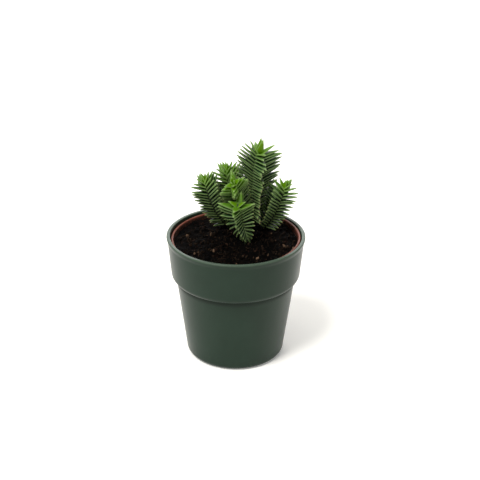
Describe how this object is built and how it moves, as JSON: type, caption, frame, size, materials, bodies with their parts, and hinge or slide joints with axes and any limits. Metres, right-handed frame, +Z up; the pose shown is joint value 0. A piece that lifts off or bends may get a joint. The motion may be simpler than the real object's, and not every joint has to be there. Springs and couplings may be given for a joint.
{
  "type": "potted crassula",
  "caption": "Clump of crassula shoots with close ranks of pointed fleshy leaves, in peat in a thin nursery pot that stands inside a banded cover pot with a flared lip.",
  "frame": {"origin": "centre of the cover pot's base, on the surface that it stands on", "axes": "+Z up along the cover pot's axis; -Y is the side that the picture shows, and +X is to its right"},
  "size_m": [0.098, 0.098, 0.157],
  "materials": {
    "dark_green_plastic": "satin, faintly grained, dark grey-green",
    "terracotta_plastic": "satin terracotta colour, thin wall",
    "peat": "rough, crumbly, dark, with paler crumbs",
    "leaf_green": "waxy bloom, dark green with yellow-green buds and paler edges"
  },
  "bodies": {
    "root": {"cover_pot": "dark_green_plastic", "nursery_pot": "terracotta_plastic", "soil": "peat", "shoot_front": "leaf_green", "shoot_main": "leaf_green", "shoot_right": "leaf_green", "shoot_left": "leaf_green", "shoot_centre": "leaf_green", "shoot_back": "leaf_green"}
  },
  "joints": []
}
